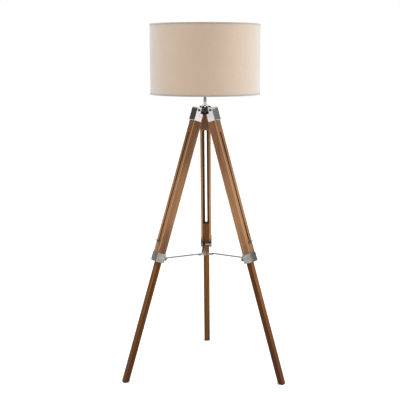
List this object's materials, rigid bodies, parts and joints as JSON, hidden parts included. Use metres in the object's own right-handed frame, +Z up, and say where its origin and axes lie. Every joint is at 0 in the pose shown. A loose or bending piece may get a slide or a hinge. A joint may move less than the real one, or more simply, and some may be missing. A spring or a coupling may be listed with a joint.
{
  "type": "tripod floor lamp",
  "caption": "Floor lamp on a folding timber tripod with telescopic legs, metal caps and collars, a strap spreader and a fabric drum shade.",
  "frame": {"origin": "floor level, at the middle of the lamp's footprint box; the lamp's own axis is at Y = -0.07785", "axes": "+Z up along the lamp's axis; +Y towards the back leg; X across, with the front legs on either side"},
  "size_m": [0.6704, 0.6058, 1.4488],
  "materials": {
    "oak": "oiled oak, satin",
    "dark_oak": "oiled oak, satin, darker",
    "chrome": "bright nickel plate",
    "satin_steel": "satin nickel plate",
    "black_steel": "blackened steel",
    "rubber": "matt",
    "phenolic": "moulded",
    "ceramic": "glazed ceramic",
    "brass": "rolled",
    "opal_glass": "opal",
    "white_wire": "powder coat",
    "fabric": "laminated woven",
    "trim_tape": "folded tape"
  },
  "bodies": {
    "head": {"head_hub": "black_steel", "stem_tube": "chrome", "stem_nut": "chrome", "cable_gland": "rubber", "lampholder_shell": "phenolic", "lampholder_insert": "ceramic", "shade_ring": "phenolic", "bulb_base": "brass", "bulb_glass": "opal_glass", "shade_spider": "white_wire", "shade_top_ring": "white_wire", "shade_skin": "fabric", "shade_trim_bottom": "trim_tape", "shade_trim_top": "trim_tape"},
    "spreader": {"spreader_hub": "satin_steel"},
    "leg_1": {"leg_1_upper": "oak", "leg_1_cap": "chrome", "leg_1_cap_screw": "chrome", "leg_1_pivot_bolt": "black_steel", "leg_1_collar": "satin_steel", "leg_1_strap_bolt": "satin_steel", "leg_1_strap_sleeve": "satin_steel"},
    "lower_1": {"leg_1_lower": "dark_oak", "leg_1_foot_pad": "rubber", "leg_1_clamp_washer": "satin_steel"},
    "wing_1": {"leg_1_wing_bolt": "black_steel"},
    "strap_1": {"leg_1_strap": "satin_steel", "leg_1_strap_rivet": "satin_steel"},
    "leg_2": {"leg_2_upper": "oak", "leg_2_cap": "chrome", "leg_2_cap_screw": "chrome", "leg_2_pivot_bolt": "black_steel", "leg_2_collar": "satin_steel", "leg_2_strap_bolt": "satin_steel", "leg_2_strap_sleeve": "satin_steel"},
    "lower_2": {"leg_2_lower": "dark_oak", "leg_2_foot_pad": "rubber", "leg_2_clamp_washer": "satin_steel"},
    "wing_2": {"leg_2_wing_bolt": "black_steel"},
    "strap_2": {"leg_2_strap": "satin_steel", "leg_2_strap_rivet": "satin_steel"},
    "leg_3": {"leg_3_upper": "oak", "leg_3_cap": "chrome", "leg_3_cap_screw": "chrome", "leg_3_pivot_bolt": "black_steel", "leg_3_collar": "satin_steel", "leg_3_strap_bolt": "satin_steel", "leg_3_strap_sleeve": "satin_steel"},
    "lower_3": {"leg_3_lower": "dark_oak", "leg_3_foot_pad": "rubber", "leg_3_clamp_washer": "satin_steel"},
    "wing_3": {"leg_3_wing_bolt": "black_steel"},
    "strap_3": {"leg_3_strap": "satin_steel", "leg_3_strap_rivet": "satin_steel"}
  },
  "joints": [
    {"name": "leg_1_fold", "type": "hinge", "parent": "head", "child": "leg_1", "pos_m": [0, -0.03815, 1.1047], "axis": [-1, 0, 0], "range_deg": [0, 14]},
    {"name": "leg_1_extend", "type": "slide", "parent": "leg_1", "child": "lower_1", "axis": [0, -0.299, 0.9542], "range_m": [0, 0.38]},
    {"name": "leg_1_wing_turn", "type": "hinge", "parent": "lower_1", "child": "wing_1", "pos_m": [0, 0.13503, 0.57631], "axis": [0, 0.9542, 0.299], "continuous": true},
    {"name": "leg_1_strap_turn", "type": "hinge", "parent": "leg_1", "child": "strap_1", "pos_m": [0, 0.1121, 0.50069], "axis": [-1, 0, 0], "range_deg": [0, 72.69]},
    {"name": "leg_2_fold", "type": "hinge", "parent": "head", "child": "leg_2", "pos_m": [-0.03438, -0.0977, 1.1047], "axis": [0.5, -0.866, 0], "range_deg": [0, 14.01]},
    {"name": "leg_2_extend", "type": "slide", "parent": "leg_2", "child": "lower_2", "axis": [0.259, 0.1495, 0.9542], "range_m": [0, 0.38]},
    {"name": "leg_2_wing_turn", "type": "hinge", "parent": "lower_2", "child": "wing_2", "pos_m": [-0.18436, -0.18429, 0.57631], "axis": [-0.8264, -0.4771, 0.299], "continuous": true},
    {"name": "leg_2_strap_turn", "type": "hinge", "parent": "leg_2", "child": "strap_2", "pos_m": [-0.1645, -0.17283, 0.50069], "axis": [0.5, -0.866, 0], "range_deg": [0, 72.69]},
    {"name": "leg_3_fold", "type": "hinge", "parent": "head", "child": "leg_3", "pos_m": [0.03438, -0.0977, 1.1047], "axis": [0.5, 0.866, 0], "range_deg": [0, 14.01]},
    {"name": "leg_3_extend", "type": "slide", "parent": "leg_3", "child": "lower_3", "axis": [-0.259, 0.1495, 0.9542], "range_m": [0, 0.38]},
    {"name": "leg_3_wing_turn", "type": "hinge", "parent": "lower_3", "child": "wing_3", "pos_m": [0.18436, -0.18429, 0.57631], "axis": [0.8264, -0.4771, 0.299], "continuous": true},
    {"name": "leg_3_strap_turn", "type": "hinge", "parent": "leg_3", "child": "strap_3", "pos_m": [0.1645, -0.17283, 0.50069], "axis": [0.5, 0.866, 0], "range_deg": [0, 72.69]},
    {"name": "spreader_rise", "type": "slide", "parent": "head", "child": "spreader", "axis": [0, 0, 1], "range_m": [0, 0.14147]}
  ],
  "couplings": [
    {"joint": "leg_1_strap_turn", "follows": "leg_1_fold", "ratio": 5.1889},
    {"joint": "leg_2_fold", "follows": "leg_1_fold", "ratio": 1},
    {"joint": "leg_2_strap_turn", "follows": "leg_1_fold", "ratio": 5.1889},
    {"joint": "leg_3_fold", "follows": "leg_1_fold", "ratio": 1},
    {"joint": "leg_3_strap_turn", "follows": "leg_1_fold", "ratio": 5.1889},
    {"joint": "spreader_rise", "follows": "leg_1_fold", "m_per_rad": 0.57815}
  ]
}
